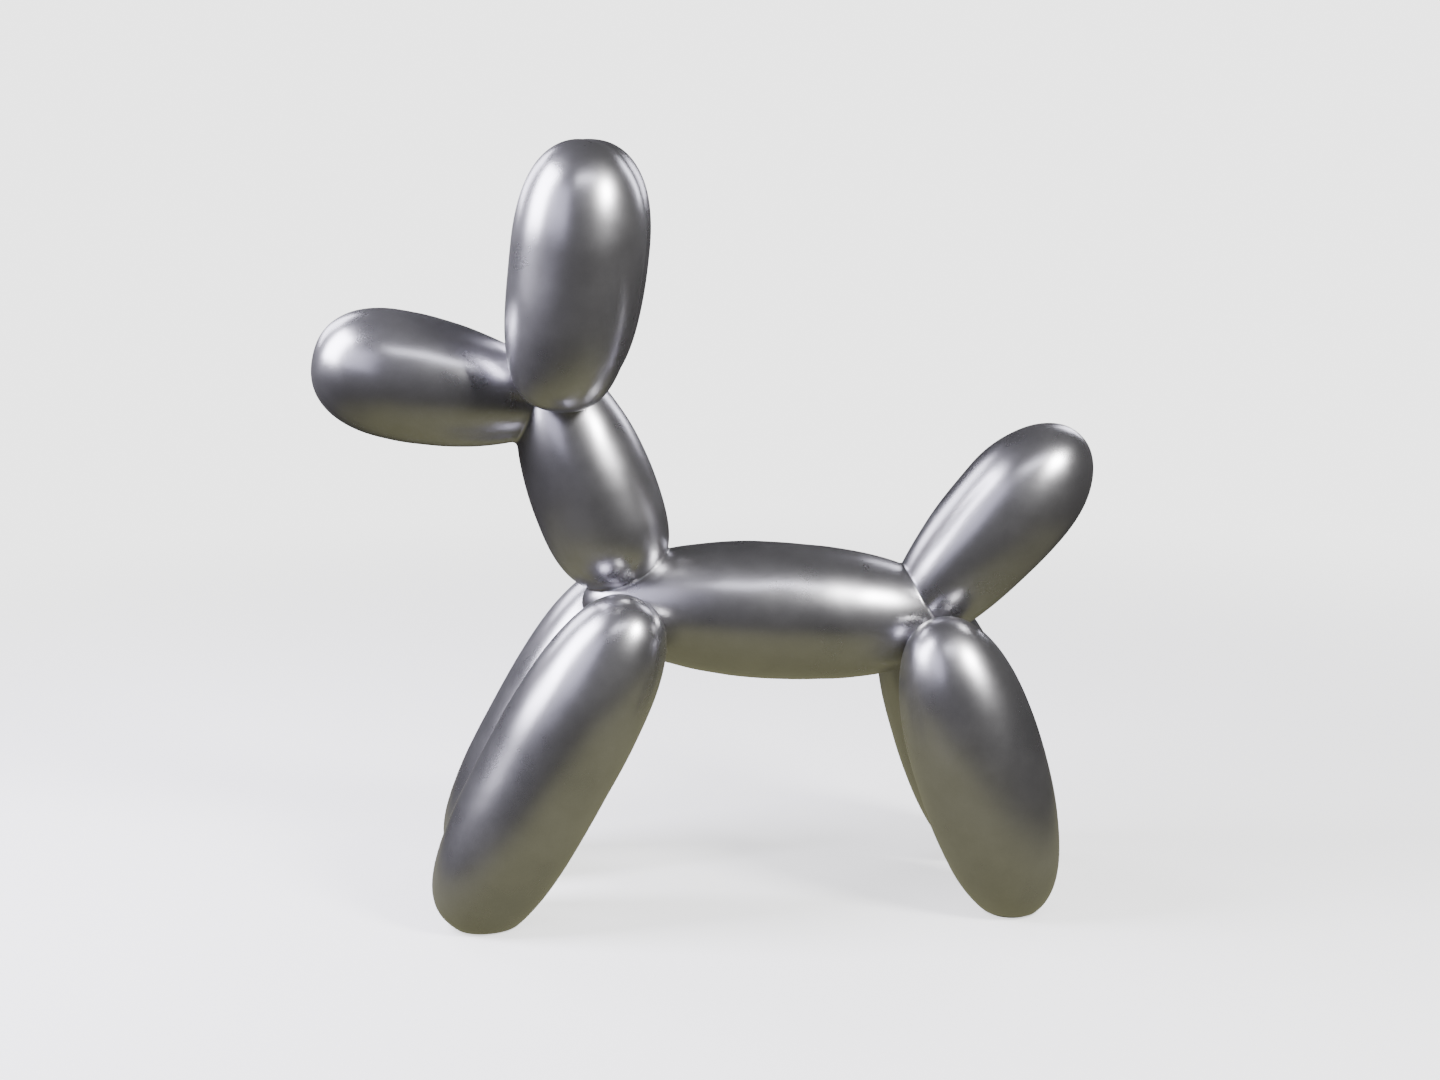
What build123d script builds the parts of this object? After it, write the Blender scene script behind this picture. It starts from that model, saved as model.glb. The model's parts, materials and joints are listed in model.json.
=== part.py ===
from build123d import *

import os
from dataclasses import dataclass
from functools import cache
from math import asin, cos, pi, radians, sin

# Balloon-animal dog figure: glass-fibre balloon shells bonded over a welded steel frame.
#
# The dog faces -X, its left side is -Y and +Z is up. The origin is on the floor, under the
# middle of the figure's box. Lengths are millimetres and angles are degrees.
#
# The skeleton comes first: three hubs (shoulder, rump and head), each the middle of a cross
# bar. Every balloon and every bar is placed from the hubs, the feet and the soles, so that a
# change of one size carries everything that joins it.

# ---------------------------------------------------------------- skeleton
shoulder_height = 447.0  # front cross bar, above the floor
rump_height = 417.0  # rear cross bar, above the floor
trunk_span = 434.5  # shoulder hub back to rump hub
spine_rise = 29.5  # the trunk's line, above the two leg cross bars
neck_rise = 388.0  # shoulder hub up to head hub
neck_forward = 138.0  # shoulder hub forward to head hub
front_stride = 281.0  # shoulder hub forward to a front leg's line, at the foot plate
rear_stride = 147.5  # rump hub back to a rear leg's line, at the foot plate
front_sole_behind = 28.0  # middle of a front foot plate, behind the leg's line
rear_sole_ahead = 12.5  # middle of a rear foot plate, ahead of the leg's line
hip_gap = 18.5  # middle of the figure out to the skin of a leg that hangs straight down
foot_splay = 10.5  # a leg's line at the foot, farther out than at its cross bar
front_leg_ahead = 39.5  # front legs' line, ahead of their cross bar
rear_leg_behind = 27.5  # rear legs' line, behind their cross bar
ear_tuck = 5.0  # an ear's line at the head hub, nearer the middle than its radius
ear_behind = 10.5  # left ear's line, behind the head hub
ear_stagger = 14.0  # right ear, behind the left one
ear_lean = 7.6  # the ears' line, back from upright
ear_splay = 3.6  # the ears' line, outwards from upright
muzzle_drop = 48.0  # muzzle's root, down the neck's line from the head hub
muzzle_pitch = 12.4  # the muzzle's line, above level
tail_pitch = 49.0  # the tail's line, above level

# ---------------------------------------------------------------- balloons
muzzle_radius, muzzle_length = 100.5, 392.0
neck_radius, neck_past_head, neck_short_of_shoulder = 100.0, 37.0, 65.5
trunk_radius, trunk_past_shoulder, trunk_past_rump = 109.5, 98.5, 58.0
tail_radius, tail_length, tail_set_back = 94.0, 456.0, 65.5
ear_radius, ear_length, ear_below_hub = 100.5, 405.5, 36.5
front_leg_radius, front_leg_crown, front_leg_past_foot = 102.0, 70.0, 22.5
rear_leg_radius, rear_leg_crown, rear_leg_past_foot = 103.5, 57.5, 25.0

# A shape is the fullest section, as a share of the length from the root, then the roundness of
# the root end and of the tip end, where 2 is an ellipse and more is blunter.
muzzle_shape = (0.64, 1.95, 2.4)
neck_shape = (0.59, 1.95, 2.8)
trunk_shape = (0.495, 1.95, 2.4)
tail_shape = (0.67, 1.95, 2.05)
ear_shape = (0.6, 2.9, 2.25)
front_leg_shape = (0.48, 2.56, 3.1)
rear_leg_shape = (0.46, 2.25, 2.4)

# ---------------------------------------------------------------- laminate
shell_thickness = 4.0  # glass-fibre shell of every balloon
tape_thickness = 2.5  # laminate strip that joins two shells from inside
tape_width = 50.0
tape_end_radius = 15.0  # where a strip stops, out from its balloon's line

# ---------------------------------------------------------------- steel frame
cross_bar_radius, cross_bar_wall = 21.2, 2.6  # at the legs
head_bar_radius, head_bar_wall = 16.9, 2.6  # the cross bar at the ears
spine_radius, spine_wall = 16.9, 2.6
neck_bar_radius, neck_bar_wall = 15.0, 2.0
leg_bar_radius, leg_bar_wall = 16.9, 2.6
branch_bar_radius, branch_bar_wall = 13.5, 2.3  # muzzle, ears and tail
cross_bar_past_leg = 22.0  # a cross bar's end, past the bar that hangs from it
bar_end_gap = 80.0  # a bar's free end to the end of its balloon
bar_clearance = 1.0  # around a bar where it passes through laminate

# ---------------------------------------------------------------- discs and feet
disc_thickness = 12.0  # plywood discs that hold the shells off the bars
disc_station = 0.6  # a disc's place, as a share of its balloon's length
plate_thickness = 12.0
anchor_hole_radius = 5.1  # tapping size for M12
pad_thickness = 3.0
pad_radius = 36.0
pad_hole_radius = 9.0

# ---------------------------------------------------------------- modelling
outline_steps = 8  # spans of the outline from an end to the fullest section
end_flat_radius = 4.0  # small flat where a balloon's end is closed
oversize = 4  # a cutting body, against the size of what it cuts
crumb_share = 0.02  # a cut's leftover under this share of its piece is dropped


@dataclass(frozen=True)
class Balloon:
    """One balloon of the figure: a round body on a straight line from root to tip."""

    root: tuple
    tip: tuple
    radius: float
    fullest: float
    root_power: float
    tip_power: float
    sides: tuple  # names of its two shells

    @property
    def length(self):
        return (Vector(*self.tip) - Vector(*self.root)).length

    def at(self, share):
        return Vector(*self.root) + (Vector(*self.tip) - Vector(*self.root)) * share

    @property
    def plane(self):
        """Root at the origin, line along +Z, shell seam in the XZ plane."""
        line = Vector(*self.tip) - Vector(*self.root)
        return Plane(origin=self.root, x_dir=(0, 1, 0), z_dir=line)


@dataclass(frozen=True)
class Bar:
    """A round steel tube from one point to another."""

    start: tuple
    end: tuple
    radius: float
    wall: float

    def cylinder(self, radius):
        line = Vector(*self.end) - Vector(*self.start)
        foot = Plane(origin=self.start, z_dir=line)
        flush = (Align.CENTER, Align.CENTER, Align.MIN)
        return foot.location * Cylinder(radius, line.length, align=flush)

    @cache
    def outside(self):
        return self.cylinder(self.radius)

    @cache
    def clearance(self):
        return self.cylinder(self.radius + bar_clearance)

    def tube(self):
        return self.outside() - self.cylinder(self.radius - self.wall)


def beyond(first, second, distance):
    """The point a distance past the second of two points, on their line."""
    line = Vector(*second) - Vector(*first)
    return Vector(*second) + line.normalized() * distance


# ---------------------------------------------------------------- hubs and lines
plate_top = pad_thickness + plate_thickness
leg_hub_half_width = max(front_leg_radius, rear_leg_radius) + hip_gap
foot_half_width = leg_hub_half_width + foot_splay
ear_hub_half_width = ear_radius - ear_tuck
shoulder_hub = (0, 0, shoulder_height)
rump_hub = (trunk_span, 0, rump_height)
head_hub = (-neck_forward, 0, shoulder_height + neck_rise)
spine_front = (0, 0, shoulder_height + spine_rise)
spine_rear = (trunk_span, 0, rump_height + spine_rise)
side_signs = {"left": -1, "right": 1}


def foot_middle(end, side):
    """Where a leg's line meets the top of its foot plate."""
    reach = -front_stride if end == "front" else trunk_span + rear_stride
    return (reach, side_signs[side] * foot_half_width, plate_top)


def sole_middle(end, side):
    """Middle of a foot plate's top, over its anchor hole and its pad."""
    x, y, z = foot_middle(end, side)
    return (x + (front_sole_behind if end == "front" else -rear_sole_ahead), y, z)


def leg_balloon(end, side):
    if end == "front":
        hub, shift, radius, shape = shoulder_hub, -front_leg_ahead, front_leg_radius, front_leg_shape
        crown, past = front_leg_crown, front_leg_past_foot
    else:
        hub, shift, radius, shape = rump_hub, rear_leg_behind, rear_leg_radius, rear_leg_shape
        crown, past = rear_leg_crown, rear_leg_past_foot
    hip = (hub[0] + shift, side_signs[side] * leg_hub_half_width, hub[2])
    foot = foot_middle(end, side)
    root = tuple(beyond(foot, hip, crown))
    tip = tuple(beyond(hip, foot, past))
    return Balloon(root, tip, radius, *shape, ("back", "front"))


def ear_balloon(side):
    sign = side_signs[side]
    shift = ear_behind + (ear_stagger if side == "right" else 0)
    middle = Vector(head_hub[0] + shift, sign * ear_hub_half_width, head_hub[2])
    rise = Vector(sin(radians(ear_lean)), sign * sin(radians(ear_splay)), cos(radians(ear_lean)))
    root = middle - rise.normalized() * ear_below_hub
    tip = root + rise.normalized() * ear_length
    return Balloon(tuple(root), tuple(tip), ear_radius, *ear_shape, ("front", "back"))


def all_balloons():
    neck_root = tuple(beyond(shoulder_hub, head_hub, neck_past_head))
    neck_tip = tuple(beyond(head_hub, shoulder_hub, -neck_short_of_shoulder))
    trunk_root = tuple(beyond(spine_rear, spine_front, trunk_past_shoulder))
    trunk_tip = tuple(beyond(spine_front, spine_rear, trunk_past_rump))
    muzzle_root = beyond(shoulder_hub, head_hub, -muzzle_drop)
    muzzle_line = Vector(-cos(radians(muzzle_pitch)), 0, sin(radians(muzzle_pitch)))
    tail_line = Vector(cos(radians(tail_pitch)), 0, sin(radians(tail_pitch)))
    tail_root = Vector(*spine_rear) - tail_line * tail_set_back
    muzzle_ends = (tuple(muzzle_root), tuple(muzzle_root + muzzle_line * muzzle_length))
    tail_ends = (tuple(tail_root), tuple(tail_root + tail_line * tail_length))
    balloons = {
        "muzzle": Balloon(*muzzle_ends, muzzle_radius, *muzzle_shape, ("lower", "upper")),
        "neck": Balloon(neck_root, neck_tip, neck_radius, *neck_shape, ("back", "front")),
        "trunk": Balloon(trunk_root, trunk_tip, trunk_radius, *trunk_shape, ("upper", "lower")),
        "tail": Balloon(*tail_ends, tail_radius, *tail_shape, ("upper", "lower")),
    }
    for side in side_signs:
        balloons[f"{side}_ear"] = ear_balloon(side)
    for end in ("front", "rear"):
        for side in side_signs:
            balloons[f"{end}_{side}_leg"] = leg_balloon(end, side)
    return balloons


balloons = all_balloons()
legs = [name for name in balloons if name.endswith("leg")]
front_legs = [name for name in legs if name.startswith("front")]
rear_legs = [name for name in legs if name.startswith("rear")]
ears = [name for name in balloons if name.endswith("ear")]

# A balloon is trimmed to the skins of the balloons listed beside it.
trimmed_by = {
    "neck": front_legs + ears,
    "trunk": legs + ["neck"],
    "tail": rear_legs + ["trunk"],
    "muzzle": ears + ["neck"],
}


# ---------------------------------------------------------------- balloon solids
def outline(balloon, inset):
    """Radius and distance along the line, from end flat to end flat, on a skin moved in by inset."""
    middle = balloon.fullest * balloon.length
    radius = balloon.radius - inset
    ends = (
        (-1, middle - inset, balloon.root_power),
        (1, balloon.length - middle - inset, balloon.tip_power),
    )
    points = []
    for direction, half, power in ends:
        first = asin((end_flat_radius / radius) ** (power / 2))
        rows = []
        for step in range(outline_steps):
            turn = first + (pi / 2 - first) * step / outline_steps
            along = direction * half * cos(turn) ** (2 / power)
            rows.append((radius * sin(turn) ** (2 / power), middle + along))
        points += rows + [(radius, middle)] if direction < 0 else rows[::-1]
    return points


def skin_edges(balloon, inset):
    """The outline as one curve and the two end flats, each running from the rim to the line."""
    points = [(radius, 0, along) for radius, along in outline(balloon, inset)]
    flats = [Line(point, (0, 0, point[2])) for point in (points[0], points[-1])]
    return Spline(*points), flats[0], flats[1]


@cache
def solid_balloon(name, inset):
    """The whole body inside a skin."""
    balloon = balloons[name]
    curve, root_flat, tip_flat = skin_edges(balloon, inset)
    face = make_face([curve, root_flat, tip_flat, Line(root_flat @ 1, tip_flat @ 1)])
    return balloon.plane.location * revolve(face, axis=Axis.Z)


def skin_face(balloon, outer, inner):
    """Section between two skins, on one side of the balloon's line."""
    outside, inside = skin_edges(balloon, outer), skin_edges(balloon, inner)
    joins = [Line(outside[end] @ 1, inside[end] @ 1) for end in (1, 2)]
    return make_face([*outside, *inside, *joins])


def half_shell(name, half):
    """Half of the shell; half 0 is on the +Y side of the balloon's own plane, half 1 on the other."""
    balloon = balloons[name]
    shell = revolve(skin_face(balloon, 0, shell_thickness), axis=Axis.Z, revolution_arc=180)
    return balloon.plane.location * (Rot(0, 0, 180 * half) * shell)


def seam_tape(name):
    """Strips inside the seam, one on each side of the balloon's line."""
    balloon = balloons[name]
    section = skin_face(balloon, shell_thickness, shell_thickness + tape_thickness)
    layer = Rot(0, 0, -90) * revolve(section, axis=Axis.Z, revolution_arc=180)
    flush = (Align.MIN, Align.CENTER, Align.CENTER)
    reach = oversize * balloon.length
    strip = layer & Pos(tape_end_radius, 0, 0) * Box(reach, tape_width, reach, align=flush)
    turns = (Rot(0, 0, 0), Rot(0, 0, 180))
    sides = [turn * solid for turn in turns for solid in strip.solids()]
    return balloon.plane.location * Compound(sides)


def slab(bottom, top):
    """Everything between two heights."""
    flush = (Align.CENTER, Align.CENTER, Align.MIN)
    reach = oversize * (trunk_span + front_stride + rear_stride)
    return Pos(0, 0, bottom) * Box(reach, reach, top - bottom, align=flush)


def below(height):
    return slab(-shoulder_height, height)


# ---------------------------------------------------------------- bars
def all_bars():
    bars = {}
    cross_bars = {
        "front": (Vector(*shoulder_hub), leg_hub_half_width, cross_bar_radius, cross_bar_wall),
        "rear": (Vector(*rump_hub), leg_hub_half_width, cross_bar_radius, cross_bar_wall),
        "head": (Vector(*head_hub), ear_hub_half_width, head_bar_radius, head_bar_wall),
    }
    for end, (hub, half_width, radius, wall) in cross_bars.items():
        reach = Vector(0, half_width + cross_bar_past_leg, 0)
        bars[f"{end}_cross_bar"] = Bar(tuple(hub - reach), tuple(hub + reach), radius, wall)
        if end == "head":
            continue
        for side, sign in side_signs.items():
            hip = (hub.X, sign * half_width, hub.Z)
            bars[f"{end}_{side}_leg_bar"] = Bar(hip, sole_middle(end, side), leg_bar_radius, leg_bar_wall)
    bars["spine_bar"] = Bar(spine_front, spine_rear, spine_radius, spine_wall)
    bars["neck_bar"] = Bar(shoulder_hub, head_hub, neck_bar_radius, neck_bar_wall)
    starts = {"muzzle": balloons["muzzle"].root, "tail": spine_rear}
    for side, sign in side_signs.items():
        starts[f"{side}_ear"] = (head_hub[0], sign * ear_hub_half_width, head_hub[2])
    for name, start in starts.items():
        balloon = balloons[name]
        end = tuple(balloon.at(1 - bar_end_gap / balloon.length))
        bars[f"{name}_bar"] = Bar(start, end, branch_bar_radius, branch_bar_wall)
    return bars


bars = all_bars()

# A bar is coped to fit against the bars listed beside it.
coped_to = {
    "spine_bar": ["front_cross_bar", "rear_cross_bar"],
    "neck_bar": ["front_cross_bar", "head_cross_bar", "spine_bar"],
    "muzzle_bar": ["neck_bar"],
    "tail_bar": ["rear_cross_bar", "spine_bar"],
}
for side in side_signs:
    coped_to[f"{side}_ear_bar"] = ["head_cross_bar"]
    for end in ("front", "rear"):
        coped_to[f"{end}_{side}_leg_bar"] = [f"{end}_cross_bar"]

balloon_bar = {"trunk": "spine_bar"}
for name in balloons:
    balloon_bar.setdefault(name, f"{name}_bar")


# ---------------------------------------------------------------- finished pieces
def whole_pieces(shape):
    """The shape without crumbs left by a cut."""
    solids = shape.solids()
    largest = max(solid.volume for solid in solids)
    kept = [solid for solid in solids if solid.volume > crumb_share * largest]
    return kept[0] if len(kept) == 1 else Compound(kept)


def touching(one, other):
    """Whether two shapes' boxes overlap, so that one can cut the other."""
    gap = one.bounding_box().center() - other.bounding_box().center()
    reach = (one.bounding_box().size + other.bounding_box().size) / 2
    return abs(gap.X) < reach.X and abs(gap.Y) < reach.Y and abs(gap.Z) < reach.Z


def trimmed(shape, name):
    """Laminate trimmed to the neighbours, the bars and the floor pads."""
    tools = [solid_balloon(other, 0) for other in trimmed_by.get(name, [])]
    tools += [bar.clearance() for bar in bars.values()]
    if name in legs:
        tools.append(below(pad_thickness))
    for tool in tools:
        if touching(shape, tool):
            shape = shape.cut(tool)
    return whole_pieces(shape)


def bar_piece(name):
    tube = bars[name].tube()
    tools = [bars[other].outside() for other in coped_to.get(name, [])]
    if name.endswith("leg_bar"):
        tools.append(below(plate_top))
    return whole_pieces(tube.cut(*tools) if tools else tube)


def disc_piece(name):
    """Plywood disc across a balloon, threaded on its bar."""
    balloon = balloons[name]
    across = Plane(origin=balloon.at(disc_station), z_dir=balloon.plane.z_dir)
    blank = across.location * Cylinder(oversize * balloon.radius, disc_thickness)
    inside = solid_balloon(name, shell_thickness + tape_thickness)
    disc = (blank & inside) - bars[balloon_bar[name]].outside()
    return whole_pieces(disc)


def foot_plate(name):
    """Steel plate that closes a leg's end, with the tapped hole for a floor anchor."""
    end, side, _ = name.split("_")
    x, y, _ = sole_middle(end, side)
    inside = solid_balloon(name, shell_thickness + tape_thickness)
    hole = Pos(x, y, 0) * Cylinder(anchor_hole_radius, oversize * plate_top)
    return whole_pieces((inside & slab(pad_thickness, plate_top)) - hole)


def foot_pads():
    """Rubber pads, one under each foot plate."""
    flush = (Align.CENTER, Align.CENTER, Align.MIN)
    pad = Cylinder(pad_radius, pad_thickness, align=flush)
    pad -= Cylinder(pad_hole_radius, oversize * pad_thickness)
    places = [sole_middle(end, side) for end in ("front", "rear") for side in side_signs]
    return Compound([Pos(x, y, 0) * pad.solid() for x, y, _ in places])


def all_pieces():
    pieces = {}
    for name, balloon in balloons.items():
        for half, side in enumerate(balloon.sides):
            pieces[f"{name}_shell_{side}"] = trimmed(half_shell(name, half), name)
        pieces[f"{name}_seam_tape"] = trimmed(seam_tape(name), name)
        pieces[f"{name}_disc"] = disc_piece(name)
    for name in bars:
        pieces[name] = bar_piece(name)
    for name in legs:
        pieces[f"{name}_foot_plate"] = foot_plate(name)
    pieces["foot_pads"] = foot_pads()
    return pieces


def main():
    pieces = all_pieces()
    box = Compound([solid for piece in pieces.values() for solid in piece.solids()]).bounding_box()
    centring = Pos(-(box.min.X + box.max.X) / 2, -(box.min.Y + box.max.Y) / 2, 0)
    os.makedirs("parts", exist_ok=True)
    for name, piece in pieces.items():
        export_step(centring * piece, f"parts/{name}.step")


main()
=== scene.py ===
import json
import math
import bmesh
import bpy
import numpy as np
from mathutils import Matrix, Vector


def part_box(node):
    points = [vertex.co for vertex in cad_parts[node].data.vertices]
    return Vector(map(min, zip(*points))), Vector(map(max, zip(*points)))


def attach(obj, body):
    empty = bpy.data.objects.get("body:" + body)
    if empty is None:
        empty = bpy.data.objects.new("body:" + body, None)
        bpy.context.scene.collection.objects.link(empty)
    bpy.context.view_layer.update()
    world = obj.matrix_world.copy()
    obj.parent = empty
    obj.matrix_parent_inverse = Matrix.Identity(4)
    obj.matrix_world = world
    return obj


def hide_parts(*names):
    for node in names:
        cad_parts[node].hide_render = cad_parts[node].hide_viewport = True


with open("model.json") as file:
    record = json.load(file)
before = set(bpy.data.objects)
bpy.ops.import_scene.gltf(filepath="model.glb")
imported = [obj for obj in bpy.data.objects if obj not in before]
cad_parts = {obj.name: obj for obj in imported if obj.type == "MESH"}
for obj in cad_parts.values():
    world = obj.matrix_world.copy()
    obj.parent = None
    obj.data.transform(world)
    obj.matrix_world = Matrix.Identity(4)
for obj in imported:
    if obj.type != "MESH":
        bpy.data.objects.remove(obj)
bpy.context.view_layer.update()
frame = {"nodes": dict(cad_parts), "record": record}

# Balloon-animal dog figure, glass fibre painted satin silver. It faces -X, its left side is -Y.
body = "root"


# skeleton, read from the welded frame inside the figure

def middleOf(node):
    low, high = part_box(node)
    return (np.array(low) + np.array(high)) / 2


shoulderHub = middleOf("front_cross_bar")
rumpHub = middleOf("rear_cross_bar")
headHub = middleOf("head_cross_bar")
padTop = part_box("foot_pads")[1][2]
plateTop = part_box("front_left_leg_foot_plate")[1][2]
anchors = next(m for m in frame["record"]["mounts"] if m["name"] == "floor_anchors")
sideSign = {"left": -1, "right": 1}

spine = {"rise": 0.0295}  # trunk's line, above the two leg cross bars
spineFront = shoulderHub + (0, 0, spine["rise"])
spineRear = rumpHub + (0, 0, spine["rise"])


def towards(start, end):
    line = np.array(end, float) - start
    return line / np.linalg.norm(line)


def pitched(degrees, facing):
    angle = math.radians(degrees)
    return np.array([facing * math.cos(angle), 0, math.sin(angle)])


# balloons: sizes in metres, powers 2 for an ellipse and more for a blunter end,
# and a bow that bends the balloon's line a little

muzzle = {"radius": 0.1005, "length": 0.392, "pitch": 12.4, "dropFromHead": 0.048,
          "fullest": 0.64, "rootPower": 1.95, "tipPower": 2.4, "bow": 0.0015}
neck = {"radius": 0.1, "pastHead": 0.037, "shortOfShoulder": 0.0655,
        "fullest": 0.59, "rootPower": 1.95, "tipPower": 2.8, "bow": -0.0025}
trunk = {"radius": 0.1095, "pastShoulder": 0.0985, "pastRump": 0.058,
         "fullest": 0.495, "rootPower": 1.95, "tipPower": 2.4, "bow": 0.0}
tail = {"radius": 0.094, "length": 0.456, "pitch": 49.0, "setBack": 0.0655,
        "fullest": 0.67, "rootPower": 1.95, "tipPower": 2.05, "bow": 0.003}
ear = {"radius": 0.1005, "length": 0.4055, "belowHub": 0.0365, "halfWidth": 0.0955,
       "behind": 0.0105, "stagger": 0.014, "lean": 7.6, "splay": 3.6,
       "fullest": 0.6, "rootPower": 2.9, "tipPower": 2.25, "bow": -0.005}
frontLeg = {"radius": 0.102, "crown": 0.07, "pastFoot": 0.0225, "hubHalfWidth": 0.122,
            "shift": -0.0395, "soleShift": 0.028,
            "fullest": 0.48, "rootPower": 2.56, "tipPower": 3.1, "bow": -0.003}
rearLeg = {"radius": 0.1035, "crown": 0.0575, "pastFoot": 0.025, "hubHalfWidth": 0.122,
           "shift": 0.0275, "soleShift": -0.0125,
           "fullest": 0.46, "rootPower": 2.25, "tipPower": 2.4, "bow": 0.003}


def balloonBetween(sizes, root, tip):
    return dict(sizes, root=np.array(root), tip=np.array(tip))


def footMiddle(end, side):
    # the leg's line, level with the top of the plate that its anchor is in
    sign, shift = (-1, frontLeg["soleShift"]) if end == "front" else (1, rearLeg["soleShift"])
    x = anchors["pos_m"][0] + sign * anchors["dims"]["spacing_x_mm"] / 2000 - shift
    return np.array([x, sideSign[side] * anchors["dims"]["spacing_y_mm"] / 2000, plateTop])


def legBalloon(end, side):
    sizes, hub = (frontLeg, shoulderHub) if end == "front" else (rearLeg, rumpHub)
    hip = hub + (sizes["shift"], sideSign[side] * sizes["hubHalfWidth"], 0)
    foot = footMiddle(end, side)
    down = towards(hip, foot)
    return balloonBetween(sizes, hip - down * sizes["crown"], foot + down * sizes["pastFoot"])


def earBalloon(side):
    shift = ear["behind"] + (ear["stagger"] if side == "right" else 0)
    middle = headHub + (shift, sideSign[side] * ear["halfWidth"], 0)
    lean, splay = math.radians(ear["lean"]), math.radians(ear["splay"])
    rise = np.array([math.sin(lean), sideSign[side] * math.sin(splay), math.cos(lean)])
    rise /= np.linalg.norm(rise)
    root = middle - rise * ear["belowHub"]
    return balloonBetween(ear, root, root + rise * ear["length"])


def allBalloons():
    neckLine = towards(shoulderHub, headHub)
    spineLine = towards(spineFront, spineRear)
    muzzleRoot = headHub - neckLine * muzzle["dropFromHead"]
    tailLine = pitched(tail["pitch"], 1)
    tailRoot = spineRear - tailLine * tail["setBack"]
    made = {
        "muzzle": balloonBetween(
            muzzle, muzzleRoot, muzzleRoot + pitched(muzzle["pitch"], -1) * muzzle["length"]),
        "neck": balloonBetween(
            neck, headHub + neckLine * neck["pastHead"],
            shoulderHub + neckLine * neck["shortOfShoulder"]),
        "trunk": balloonBetween(
            trunk, spineFront - spineLine * trunk["pastShoulder"],
            spineRear + spineLine * trunk["pastRump"]),
        "tail": balloonBetween(tail, tailRoot, tailRoot + tailLine * tail["length"]),
        "left_ear": earBalloon("left"),
        "right_ear": earBalloon("right"),
    }
    for end in ("front", "rear"):
        for side in sideSign:
            made[f"{end}_{side}_leg"] = legBalloon(end, side)
    return made


balloons = allBalloons()
balloonNames = list(balloons)


# one balloon's body as a Geometry Nodes tree

def balloonTree():
    tree = bpy.data.node_groups.new("balloonBody", "GeometryNodeTree")
    tree.is_modifier = True
    tree.interface.new_socket("Geometry", in_out="INPUT", socket_type="NodeSocketGeometry")
    for name in ("Length", "Radius", "Fullest", "Root Power", "Tip Power"):
        tree.interface.new_socket(name, in_out="INPUT", socket_type="NodeSocketFloat")
    for name in ("Around", "Along"):
        tree.interface.new_socket(name, in_out="INPUT", socket_type="NodeSocketInt")
    tree.interface.new_socket("Paint", in_out="INPUT", socket_type="NodeSocketMaterial")
    tree.interface.new_socket("Geometry", in_out="OUTPUT", socket_type="NodeSocketGeometry")
    nodes, links = tree.nodes, tree.links
    sizes = nodes.new("NodeGroupInput").outputs

    def calc(operation, *values):
        node = nodes.new("ShaderNodeMath")
        node.operation = operation
        for slot, value in zip(node.inputs, values):
            if isinstance(value, (int, float)):
                slot.default_value = value
            else:
                links.new(value, slot)
        return node.outputs[0]

    def pick(test, yes, no):
        node = nodes.new("GeometryNodeSwitch")
        node.input_type = "FLOAT"
        for slot, value in zip(node.inputs, (test, no, yes)):
            links.new(value, slot)
        return node.outputs[0]

    ball = nodes.new("GeometryNodeMeshUVSphere")
    links.new(sizes["Around"], ball.inputs["Segments"])
    links.new(sizes["Along"], ball.inputs["Rings"])
    spot = nodes.new("GeometryNodeInputPosition").outputs[0]
    parts = nodes.new("ShaderNodeSeparateXYZ")
    links.new(spot, parts.inputs[0])
    x, y, z = parts.outputs
    across = calc("SQRT", calc("ADD", calc("MULTIPLY", x, x), calc("MULTIPLY", y, y)))
    towardsTip = calc("GREATER_THAN", z, 0.0)
    middle = calc("MULTIPLY", sizes["Fullest"], sizes["Length"])
    half = pick(towardsTip, calc("SUBTRACT", sizes["Length"], middle), middle)
    power = pick(towardsTip, sizes["Tip Power"], sizes["Root Power"])
    bend = calc("DIVIDE", 2.0, power)
    reach = calc("MULTIPLY", half, calc("POWER", calc("ABSOLUTE", z), bend))
    along = calc("ADD", middle, calc("MULTIPLY", calc("SIGN", z), reach))
    radius = calc("MULTIPLY", sizes["Radius"], calc("POWER", across, bend))
    scale = calc("DIVIDE", radius, calc("MAXIMUM", across, 1e-6))
    place = nodes.new("ShaderNodeCombineXYZ")
    links.new(calc("MULTIPLY", x, scale), place.inputs[0])
    links.new(calc("MULTIPLY", y, scale), place.inputs[1])
    links.new(along, place.inputs[2])
    shaped = nodes.new("GeometryNodeSetPosition")
    links.new(ball.outputs[0], shaped.inputs["Geometry"])
    links.new(place.outputs[0], shaped.inputs["Position"])
    real = nodes.new("GeometryNodeRealizeInstances")
    links.new(shaped.outputs[0], real.inputs[0])
    paint = nodes.new("GeometryNodeSetMaterial")
    links.new(real.outputs[0], paint.inputs["Geometry"])
    links.new(sizes["Paint"], paint.inputs["Material"])
    result = nodes.new("NodeGroupOutput")
    links.new(paint.outputs[0], result.inputs[0])
    return tree


def evaluatedMesh(obj):
    graph = bpy.context.evaluated_depsgraph_get()
    return bpy.data.meshes.new_from_object(obj.evaluated_get(graph))


def scratchObject(name, mesh):
    obj = bpy.data.objects.new(name, mesh)
    bpy.context.scene.collection.objects.link(obj)
    return obj


def discard(obj):
    mesh = obj.data
    bpy.data.objects.remove(obj)
    if mesh.users == 0:
        bpy.data.meshes.remove(mesh)


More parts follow.
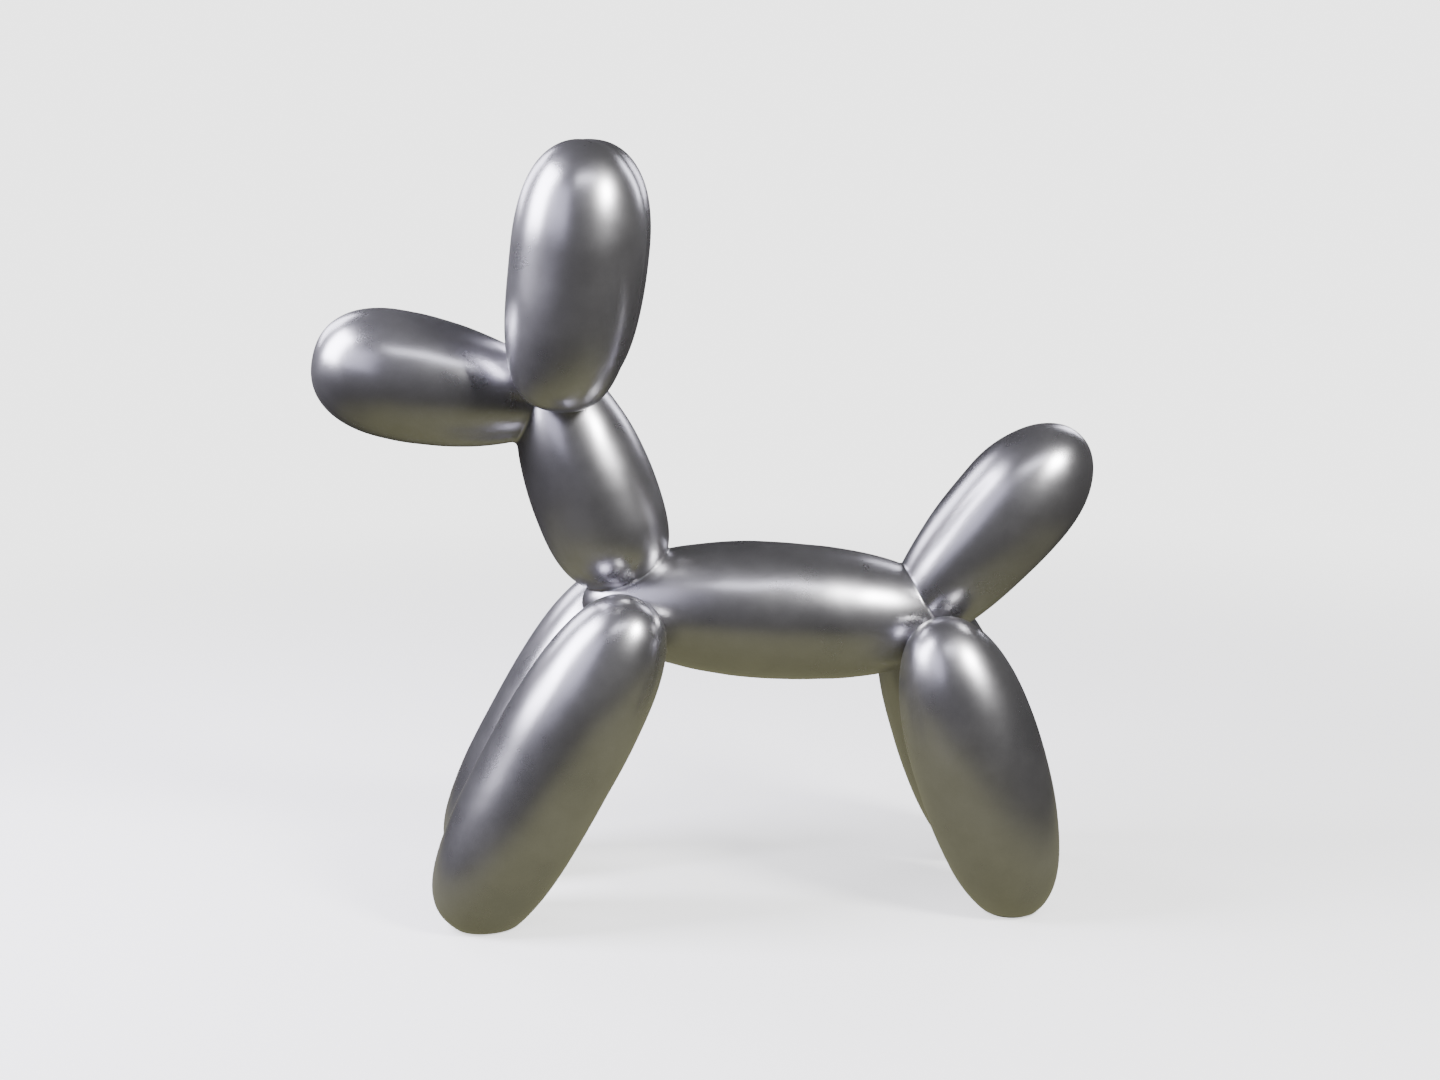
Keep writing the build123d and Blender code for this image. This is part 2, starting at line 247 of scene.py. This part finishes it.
def balloonMesh(balloon, tree, paint):
    line = balloon["tip"] - balloon["root"]
    obj = scratchObject("balloonShape", bpy.data.meshes.new("balloonShape"))
    shape = obj.modifiers.new("body", "NODES")
    shape.node_group = tree
    values = {
        "Length": float(np.linalg.norm(line)), "Radius": balloon["radius"],
        "Fullest": balloon["fullest"], "Root Power": balloon["rootPower"],
        "Tip Power": balloon["tipPower"],
        "Around": finish["around"], "Along": finish["along"], "Paint": paint,
    }
    for item in tree.interface.items_tree:
        if item.in_out == "INPUT" and item.name in values:
            shape[item.identifier] = values[item.name]
    mesh = evaluatedMesh(obj)
    discard(obj)
    turn = Vector(line).to_track_quat("Z", "Y").to_matrix().to_4x4()
    mesh.transform(Matrix.Translation(Vector(balloon["root"])) @ turn)
    return mesh


# the finished surface: balloons blended into each other by a filler cove, sanded by hand

finish = {
    "around": 96, "along": 64,  # faces of a balloon's first rough body
    "grid": 0.0029,  # edge length of the surface mesh
    "crumbShare": 0.12,  # edges under this share of the grid are closed up at the floor cut
    "cove": 0.0035,  # filler cove where two balloons meet
    "chinCove": 0.012,  # more of it under the muzzle
    "chinReach": 0.07, "chinFromHead": (-0.085, 0, -0.135),
    "sanded": 0.0006,  # taken off all over, so that the waves stay inside the laminate's outline
    "wave": 0.00022,  # unevenness left by hand sanding
    "waveCount": 14, "waveShort": 0.05, "waveLong": 0.16, "waveSeed": 7,
    "rounds": 3,  # of evening the mesh out and setting it on the surface
    "settleStep": 0.0002, "slopeStep": 0.0004,  # over which the surface's slope is taken
    "wallAtFoot": 0.004,  # laminate's edge, seen from below
    "footPocket": 0.0015,  # headroom over a foot plate
    "rimSearch": (-0.05, 0.06), "halvings": 24,  # where the laminate's inner face is looked for
}


def distanceTo(balloon, points):
    line = balloon["tip"] - balloon["root"]
    length = np.linalg.norm(line)
    line = line / length
    bowed = np.cross(line, (0, 1, 0))
    bowed /= np.linalg.norm(bowed)
    offset = points - balloon["root"]
    share = np.clip(offset @ line / length, -0.1, 1.1)
    offset = offset - (4 * balloon["bow"] * share * (1 - share))[:, None] * bowed
    along = offset @ line
    radial = np.linalg.norm(offset - along[:, None] * line, axis=1)
    middle = balloon["fullest"] * length
    tipSide = along > middle
    half = np.where(tipSide, length - middle, middle)
    power = np.where(tipSide, balloon["tipPower"], balloon["rootPower"])
    a = radial / balloon["radius"]
    b = np.abs(along - middle) / half
    size = np.maximum(a ** power + b ** power, 1e-9) ** (1 / power)
    slopeA = (a / size) ** (power - 1) / balloon["radius"]
    slopeB = (b / size) ** (power - 1) / half
    return (size - 1) / np.sqrt(slopeA ** 2 + slopeB ** 2)


waves = np.random.default_rng(finish["waveSeed"])
waveLines = waves.normal(size=(finish["waveCount"], 3))
waveLengths = waves.uniform(finish["waveShort"], finish["waveLong"], finish["waveCount"])
waveLines *= (2 * math.pi / waveLengths / np.linalg.norm(waveLines, axis=1))[:, None]
waveStarts = waves.uniform(0, 2 * math.pi, finish["waveCount"])
chinPoint = headHub + finish["chinFromHead"]


def handWave(points):
    total = np.sin(points @ waveLines.T + waveStarts).sum(axis=1)
    return finish["wave"] * total / math.sqrt(finish["waveCount"] / 2)


def surfaceHeight(points):
    distances = np.array([distanceTo(balloons[name], points) for name in balloonNames])
    nearest = distances.min(axis=0)
    fromChin = np.linalg.norm(points - chinPoint, axis=1) / finish["chinReach"]
    cove = finish["cove"] + finish["chinCove"] * np.exp(-fromChin ** 2)
    overlap = np.clip(cove - (distances - nearest), 0, None) ** 2
    return nearest - (overlap.sum(axis=0) - cove ** 2) / (4 * cove) - handWave(points) + finish["sanded"]


def surfaceSlope(points):
    step = finish["slopeStep"]
    slope = np.empty_like(points)
    for axis in range(3):
        move = np.zeros(3)
        move[axis] = step
        slope[:, axis] = (surfaceHeight(points + move) - surfaceHeight(points - move)) / (2 * step)
    return slope


def settleOnSurface(points):
    step = finish["settleStep"]
    height = surfaceHeight(points)
    rises = [surfaceHeight(points + move) - height for move in np.eye(3) * step]
    slope = np.stack(rises, axis=1) / step
    steepness = np.maximum((slope ** 2).sum(axis=1), 0.1)
    return points - (height / steepness)[:, None] * slope


def evenedOut(points, edges):
    # each point half-way towards the middle of its neighbours
    total = np.zeros_like(points)
    for axis in range(3):
        for here, there in ((0, 1), (1, 0)):
            total[:, axis] += np.bincount(edges[:, here], points[edges[:, there], axis], len(points))
    count = np.bincount(edges.ravel(), minlength=len(points))
    return (points + total / count[:, None]) / 2


def fusedSurface(paint):
    tree = balloonTree()
    joined = bmesh.new()
    for name in balloonNames:
        mesh = balloonMesh(balloons[name], tree, paint)
        joined.from_mesh(mesh)
        bpy.data.meshes.remove(mesh)
    mesh = bpy.data.meshes.new("fused")
    joined.to_mesh(mesh)
    joined.free()
    obj = scratchObject("fused", mesh)
    grid = obj.modifiers.new("grid", "REMESH")
    grid.mode = "VOXEL"
    grid.voxel_size = finish["grid"]
    even = evaluatedMesh(obj)
    discard(obj)
    points = np.empty(len(even.vertices) * 3)
    even.vertices.foreach_get("co", points)
    points = points.reshape(-1, 3)
    edges = np.empty(len(even.edges) * 2, dtype=np.int32)
    even.edges.foreach_get("vertices", edges)
    edges = edges.reshape(-1, 2)
    for _ in range(finish["rounds"]):
        points = settleOnSurface(evenedOut(evenedOut(points, edges), edges))
    points = settleOnSurface(points)
    even.vertices.foreach_set("co", points.ravel())
    print("fused surface:", len(even.vertices), "points")
    return even


# cutting the surface into one skin for each balloon

def loopsOf(edges):
    # edges as directed pairs of vertex numbers, chained into closed loops
    follows = dict(edges)
    loops = []
    while follows:
        start, here = next(iter(follows.items()))
        loop = [start]
        del follows[start]
        while here != start and here in follows:
            loop.append(here)
            here = follows.pop(here)
        loops.append(loop)
    return loops


def floorCut(mesh):
    cut = bmesh.new()
    cut.from_mesh(mesh)
    everything = cut.verts[:] + cut.edges[:] + cut.faces[:]
    bmesh.ops.bisect_plane(
        cut, geom=everything, dist=1e-6, plane_co=(0, 0, padTop), plane_no=(0, 0, 1),
        clear_inner=True)
    crumbs = [edge for edge in cut.edges if edge.calc_length() < finish["grid"] * finish["crumbShare"]]
    bmesh.ops.collapse(cut, edges=crumbs)
    cut.verts.ensure_lookup_table()
    points = np.array([vert.co[:] for vert in cut.verts])
    faces = [[vert.index for vert in face.verts] for face in cut.faces]
    cut.free()
    return points, faces


def ownersOf(points, faces):
    middles = np.array([points[face].mean(axis=0) for face in faces])
    distances = np.array([distanceTo(balloons[name], middles) for name in balloonNames])
    return distances.argmin(axis=0)


def innerFaceAt(balloon, rim, height):
    # moves a foot's rim level, inwards, until it is on the laminate's inner face
    points = rim.copy()
    points[:, 2] = height
    middle = points.mean(axis=0)
    inwards = middle - points
    inwards /= np.linalg.norm(inwards, axis=1)[:, None]
    low, high = (np.full(len(points), end) for end in finish["rimSearch"])
    for _ in range(finish["halvings"]):
        guess = (low + high) / 2
        outside = distanceTo(balloon, points + inwards * guess[:, None]) > -finish["wallAtFoot"]
        low, high = np.where(outside, guess, low), np.where(outside, high, guess)
    return points + inwards * low[:, None]


def skinMesh(name, points, normals, faces):
    # the balloon's own stretch of the surface, closed inside its neighbours
    used = sorted({index for face in faces for index in face})
    place = {index: number for number, index in enumerate(used)}
    verts = [points[index] for index in used]
    smooth = [normals[index] for index in used]
    polygons = [[place[index] for index in face] for face in faces]
    skinCount = len(polygons)
    edges = {}
    for face in polygons:
        for start, end in zip(face, face[1:] + face[:1]):
            edges[(start, end)] = True
    openEdges = [(end, start) for start, end in edges if (end, start) not in edges]
    for loop in loopsOf(openEdges):
        rim = np.array([verts[index] for index in loop])
        if rim[:, 2].max() < padTop + 1e-4:
            for height in (padTop, plateTop + finish["footPocket"]):
                ring = innerFaceAt(balloons[name], rim, height)
                first = len(verts)
                verts += list(ring)
                fresh = list(range(first, first + len(ring)))
                for number in range(len(loop)):
                    after = (number + 1) % len(loop)
                    polygons.append([loop[number], loop[after], fresh[after], fresh[number]])
                loop = fresh
            rim = ring
        centre = len(verts)
        verts.append(rim.mean(axis=0))
        for number in range(len(loop)):
            polygons.append([loop[number], loop[(number + 1) % len(loop)], centre])
    mesh = bpy.data.meshes.new(name + "_skin")
    mesh.from_pydata([tuple(vert) for vert in verts], [], polygons)
    mesh.update()
    mesh.polygons.foreach_set("use_smooth", [True] * len(polygons))
    facing = np.empty(len(polygons) * 3)
    mesh.polygons.foreach_get("normal", facing)
    facing = facing.reshape(-1, 3)
    corners = []
    for number, polygon in enumerate(polygons):
        for index in polygon:
            corners.append(smooth[index] if number < skinCount else facing[number])
    mesh.normals_split_custom_set([tuple(corner) for corner in corners])
    return mesh


def makeSkins(paint):
    fused = fusedSurface(paint)
    points, faces = floorCut(fused)
    bpy.data.meshes.remove(fused)
    normals = surfaceSlope(points)
    normals /= np.linalg.norm(normals, axis=1)[:, None]
    owners = ownersOf(points, faces)
    for number, name in enumerate(balloonNames):
        own = [face for face, owner in zip(faces, owners) if owner == number]
        mesh = skinMesh(name, points, normals, own)
        mesh.materials.append(paint)
        skin = bpy.data.objects.new(name + "_skin", mesh)
        bpy.context.scene.collection.objects.link(skin)
        shells = [node for node in frame["nodes"] if node.startswith(name + "_shell")]
        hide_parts(*shells)
        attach(skin, body)
        print("skin:", name, len(mesh.polygons), "faces")


# materials

def newMaterial(name):
    material = bpy.data.materials.new(name)
    material.use_nodes = True
    nodes = material.node_tree.nodes
    return material, nodes, material.node_tree.links, nodes["Principled BSDF"]


def noiseAt(nodes, links, scale, detail, roughness=0.5, stretch=None):
    spot = nodes.new("ShaderNodeTexCoord").outputs["Object"]
    if stretch:
        mapping = nodes.new("ShaderNodeMapping")
        mapping.inputs["Scale"].default_value = stretch
        links.new(spot, mapping.inputs["Vector"])
        spot = mapping.outputs[0]
    noise = nodes.new("ShaderNodeTexNoise")
    noise.inputs["Scale"].default_value = scale
    noise.inputs["Detail"].default_value = detail
    noise.inputs["Roughness"].default_value = roughness
    links.new(spot, noise.inputs["Vector"])
    return noise.outputs["Fac"]


def ramp(nodes, links, value, stops):
    node = nodes.new("ShaderNodeValToRGB")
    links.new(value, node.inputs[0])
    elements = node.color_ramp.elements
    while len(elements) < len(stops):
        elements.new(0.5)
    for element, (position, colour) in zip(elements, stops):
        element.position = position
        element.color = (*colour, 1) if isinstance(colour, tuple) else (colour, colour, colour, 1)
    return node.outputs["Color"]


def bumped(nodes, links, shader, *layers):
    # each layer is a height, a strength and a distance in metres
    normal = None
    for height, strength, distance in layers:
        bump = nodes.new("ShaderNodeBump")
        bump.inputs["Strength"].default_value = strength
        bump.inputs["Distance"].default_value = distance
        links.new(height, bump.inputs["Height"])
        if normal:
            links.new(normal, bump.inputs["Normal"])
        normal = bump.outputs[0]
    links.new(normal, shader.inputs["Normal"])


silver = {
    "metallic": 0.93, "dark": (0.425, 0.42, 0.44), "light": (0.50, 0.495, 0.515),
    "roughLow": 0.26, "roughHigh": 0.32, "flakeScale": 420, "peelScale": 150,
    "cloudScale": 9, "cloudShare": 0.8, "flakeDepth": 0.00001, "peelDepth": 0.00002,
}


def satinSilver():
    material, nodes, links, shader = newMaterial("satinSilverPaint")
    shader.inputs["Metallic"].default_value = silver["metallic"]
    flake = noiseAt(nodes, links, silver["flakeScale"], 2, 0.7)
    cloud = noiseAt(nodes, links, silver["cloudScale"], 4, 0.6)
    peel = noiseAt(nodes, links, silver["peelScale"], 3, 0.6)
    mixed = nodes.new("ShaderNodeMix")
    mixed.data_type = "FLOAT"
    mixed.inputs[0].default_value = silver["cloudShare"]
    links.new(flake, mixed.inputs[2])
    links.new(cloud, mixed.inputs[3])
    links.new(
        ramp(nodes, links, mixed.outputs[0], [(0.35, silver["dark"]), (0.65, silver["light"])]),
        shader.inputs["Base Color"])
    span = nodes.new("ShaderNodeMapRange")
    links.new(cloud, span.inputs["Value"])
    span.inputs["From Min"].default_value, span.inputs["From Max"].default_value = 0.3, 0.7
    span.inputs["To Min"].default_value = silver["roughLow"]
    span.inputs["To Max"].default_value = silver["roughHigh"]
    links.new(span.outputs[0], shader.inputs["Roughness"])
    bumped(nodes, links, shader, (flake, 1.0, silver["flakeDepth"]), (peel, 1.0, silver["peelDepth"]))
    return material


# the raw finishes under the paint: one noise gives the colour and the bump
laminate = {"name": "rawLaminate", "scale": 60, "detail": 5, "grit": 0.7, "stretch": (1, 1, 6),
            "dark": (0.42, 0.40, 0.30), "light": (0.62, 0.60, 0.48), "roughness": 0.45,
            "strength": 0.5, "depth": 0.0006}
plywood = {"name": "birchPlywood", "scale": 18, "detail": 6, "grit": 0.65, "stretch": (1, 9, 9),
           "dark": (0.50, 0.35, 0.20), "light": (0.74, 0.58, 0.38), "roughness": 0.7,
           "strength": 0.3, "depth": 0.0004}
primer = {"name": "greyPrimer", "scale": 240, "detail": 4, "grit": 0.6, "stretch": None,
          "dark": (0.13, 0.135, 0.14), "light": (0.22, 0.225, 0.235), "roughness": 0.6,
          "strength": 0.25, "depth": 0.0002}


def rawFinish(values):
    material, nodes, links, shader = newMaterial(values["name"])
    grain = noiseAt(
        nodes, links, values["scale"], values["detail"], values["grit"], values["stretch"])
    links.new(ramp(nodes, links, grain, [(0.3, values["dark"]), (0.7, values["light"])]),
              shader.inputs["Base Color"])
    shader.inputs["Roughness"].default_value = values["roughness"]
    bumped(nodes, links, shader, (grain, values["strength"], values["depth"]))
    return material


plate = {"markScale": 120, "markStretch": (1, 14, 1), "stainScale": 22, "dark": (0.36, 0.34, 0.32),
         "light": (0.56, 0.56, 0.56), "roughLow": 0.3, "roughHigh": 0.5, "markDepth": 0.0003}


def groundPlate():
    material, nodes, links, shader = newMaterial("groundSteelPlate")
    shader.inputs["Metallic"].default_value = 1.0
    marks = noiseAt(nodes, links, plate["markScale"], 5, 0.6, plate["markStretch"])
    stain = noiseAt(nodes, links, plate["stainScale"], 4, 0.6)
    links.new(ramp(nodes, links, stain, [(0.35, plate["dark"]), (0.65, plate["light"])]),
              shader.inputs["Base Color"])
    links.new(ramp(nodes, links, marks, [(0.3, plate["roughLow"]), (0.7, plate["roughHigh"])]),
              shader.inputs["Roughness"])
    bumped(nodes, links, shader, (marks, 0.3, plate["markDepth"]))
    return material


rubber = {"gritScale": 420, "dustScale": 30, "dark": 0.012, "light": 0.05, "roughness": 0.8,
          "gritDepth": 0.0003}


def sheetRubber():
    material, nodes, links, shader = newMaterial("sheetRubber")
    grit = noiseAt(nodes, links, rubber["gritScale"], 4, 0.6)
    dust = noiseAt(nodes, links, rubber["dustScale"], 4, 0.6)
    links.new(ramp(nodes, links, dust, [(0.35, rubber["dark"]), (0.75, rubber["light"])]),
              shader.inputs["Base Color"])
    shader.inputs["Roughness"].default_value = rubber["roughness"]
    bumped(nodes, links, shader, (grit, 0.4, rubber["gritDepth"]))
    return material


def paintNodes():
    finishes = {
        "glass_tape": rawFinish(laminate), "plywood": rawFinish(plywood),
        "frame_steel": rawFinish(primer), "plate_steel": groundPlate(),
        "pad_rubber": sheetRubber(),
    }
    slots = {entry["node"]: entry["material_slot"] for entry in frame["record"]["subparts"]}
    for node in frame["nodes"]:
        obj = bpy.data.objects[node] if node in bpy.data.objects else None
        if obj is None or slots[node] not in finishes:
            continue
        material = finishes[slots[node]]
        if not obj.data.materials:
            obj.data.materials.append(material)
        for number in range(len(obj.data.materials)):
            obj.data.materials[number] = material


# floor, light and camera

studio = {
    "floor": 0.86, "floorGlow": 1.25, "floorHalf": 6.0, "lampsAim": (0, 0, 0.6),
    "backdrop": 3.2, "fadeFrom": 1.3, "fadeTo": 3.6,  # the floor fades into the backdrop
    # the camera sees a pale floor and backdrop; reflections see this darker room, and a floor that glows
    # with painted lamplight, olive and brightest near the figure, fading to dark further out
    "roomLow": 0.05, "roomHigh": 0.04, "roomHighAt": 0.45,
    "paintedFloorLightNear": (0.30, 0.295, 0.175), "paintedFloorLightFar": (0.05, 0.048, 0.047),
    "paintedLightNearTo": 0.45, "paintedLightFarFrom": 1.7,
}


def throughCamera(nodes, links, seen, other, output):
    # one look where the camera sees it directly, another in reflections
    path = nodes.new("ShaderNodeLightPath")
    mix = nodes.new("ShaderNodeMixShader")
    links.new(path.outputs["Is Camera Ray"], mix.inputs[0])
    links.new(other, mix.inputs[1])
    links.new(seen, mix.inputs[2])
    links.new(mix.outputs[0], output.inputs["Surface"])


def outFromMiddle(nodes, links, start, end):
    # 0 up to the first distance from the figure, 1 past the second
    spot = nodes.new("ShaderNodeTexCoord").outputs["Object"]
    far = nodes.new("ShaderNodeVectorMath")
    far.operation = "LENGTH"
    links.new(spot, far.inputs[0])
    span = nodes.new("ShaderNodeMapRange")
    span.interpolation_type = "SMOOTHSTEP"
    span.inputs["From Min"].default_value, span.inputs["From Max"].default_value = start, end
    links.new(far.outputs["Value"], span.inputs["Value"])
    return span.outputs[0]


def makeFloor():
    material = bpy.data.materials.new("paleFloor")
    material.use_nodes = True
    nodes, links = material.node_tree.nodes, material.node_tree.links
    paint = nodes["Principled BSDF"]
    paint.inputs["Base Color"].default_value = (studio["floor"],) * 3 + (1,)
    paint.inputs["Roughness"].default_value = 0.9
    paint.inputs["Specular IOR Level"].default_value = 0.1
    paint.inputs["Emission Color"].default_value = (1, 1, 1, 1)
    paint.inputs["Emission Strength"].default_value = studio["floorGlow"]
    backdrop = nodes.new("ShaderNodeEmission")
    backdrop.inputs["Strength"].default_value = studio["backdrop"]
    seen = nodes.new("ShaderNodeMixShader")
    links.new(outFromMiddle(nodes, links, studio["fadeFrom"], studio["fadeTo"]), seen.inputs[0])
    links.new(paint.outputs[0], seen.inputs[1])
    links.new(backdrop.outputs[0], seen.inputs[2])
    # painted lamplight: in reflections the floor is an emitter, olive and bright near the figure and
    # dark further out, in place of the lamps lighting it
    other = nodes.new("ShaderNodeEmission")
    away = outFromMiddle(nodes, links, studio["paintedLightNearTo"], studio["paintedLightFarFrom"])
    links.new(ramp(nodes, links, away, [(0.0, studio["paintedFloorLightNear"]), (1.0, studio["paintedFloorLightFar"])]),
              other.inputs["Color"])
    throughCamera(nodes, links, seen.outputs[0], other.outputs[0], nodes["Material Output"])
    material.cycles.emission_sampling = "NONE"
    half = studio["floorHalf"]
    corners = [(-half, -half, 0), (half, -half, 0), (half, half, 0), (-half, half, 0)]
    mesh = bpy.data.meshes.new("floor")
    mesh.from_pydata(corners, [], [(0, 1, 2, 3)])
    mesh.materials.append(material)
    floor = bpy.data.objects.new("floor", mesh)
    bpy.context.scene.collection.objects.link(floor)


def makeRoom():
    world = bpy.data.worlds.new("room")
    world.use_nodes = True
    nodes, links = world.node_tree.nodes, world.node_tree.links
    seen = nodes["Background"]
    seen.inputs["Color"].default_value = (1, 1, 1, 1)
    seen.inputs["Strength"].default_value = studio["backdrop"]
    other = nodes.new("ShaderNodeBackground")
    spot = nodes.new("ShaderNodeTexCoord").outputs["Generated"]
    parts = nodes.new("ShaderNodeSeparateXYZ")
    links.new(spot, parts.inputs[0])
    stops = [(0.0, studio["roomLow"]), (studio["roomHighAt"], studio["roomHigh"])]
    links.new(ramp(nodes, links, parts.outputs[2], stops), other.inputs["Color"])
    throughCamera(nodes, links, seen.outputs[0], other.outputs[0], nodes["World Output"])
    bpy.context.scene.world = world


lamps = {
    "leftWindow": {"azimuth": -82, "elevation": 34, "distance": 3.0, "width": 1.4, "height": 2.0,
                   "power": 250, "colour": (0.88, 0.86, 1.0)},
    "leftWall": {"azimuth": -42, "elevation": 27, "distance": 3.3, "width": 1.7, "height": 1.7,
                 "power": 17, "colour": (0.80, 0.78, 1.0)},
    "rightLamp": {"azimuth": 46, "elevation": 36, "distance": 3.2, "width": 0.7, "height": 0.75,
                  "power": 150, "colour": (1.0, 0.99, 0.97)},
    "overhead": {"azimuth": 10, "elevation": 51, "distance": 3.4, "width": 1.9, "height": 0.35,
                 "power": 17, "colour": (0.90, 0.89, 1.0)},
    "behind": {"azimuth": 140, "elevation": 26, "distance": 3.4, "width": 0.9, "height": 1.4,
               "power": 26, "colour": (0.90, 0.89, 1.0)},
    "farWindow": {"azimuth": -135, "elevation": 30, "distance": 3.2, "width": 1.2, "height": 1.6,
                  "power": 55, "colour": (0.88, 0.86, 1.0)},
}


def fromAround(azimuth, elevation):
    a, e = math.radians(azimuth), math.radians(elevation)
    return Vector((math.sin(a) * math.cos(e), -math.cos(a) * math.cos(e), math.sin(e)))


def makeLamps():
    centre = Vector(studio["lampsAim"])
    for name, lamp in lamps.items():
        data = bpy.data.lights.new(name, "AREA")
        data.shape = "RECTANGLE"
        data.size, data.size_y = lamp["width"], lamp["height"]
        data.energy, data.color = lamp["power"], lamp["colour"]
        obj = bpy.data.objects.new(name, data)
        out = fromAround(lamp["azimuth"], lamp["elevation"])
        obj.location = centre + out * lamp["distance"]
        obj.rotation_euler = out.to_track_quat("Z", "Y").to_euler()
        bpy.context.scene.collection.objects.link(obj)


shot = {"azimuth": -3.53, "elevation": 10.98, "roll": -0.19, "distance": 3.317,
        "lens": 52.49, "sensor": 36, "aim": (0.0177, 0, 0.5773)}


def makeCamera():
    data = bpy.data.cameras.new("camera")
    data.lens, data.sensor_width = shot["lens"], shot["sensor"]
    obj = bpy.data.objects.new("camera", data)
    back = fromAround(shot["azimuth"], shot["elevation"])
    right = Vector((0, 0, 1)).cross(back).normalized()
    up = back.cross(right)
    roll = math.radians(shot["roll"])
    turnedRight = right * math.cos(roll) + up * math.sin(roll)
    turnedUp = up * math.cos(roll) - right * math.sin(roll)
    turn = Matrix((turnedRight, turnedUp, back)).transposed().to_4x4()
    obj.matrix_world = Matrix.Translation(Vector(shot["aim"]) + back * shot["distance"]) @ turn
    bpy.context.scene.collection.objects.link(obj)
    bpy.context.scene.camera = obj


makeCamera()
makeRoom()
makeFloor()
makeLamps()
print("studio ready")
makeSkins(satinSilver())
paintNodes()
print("materials ready")
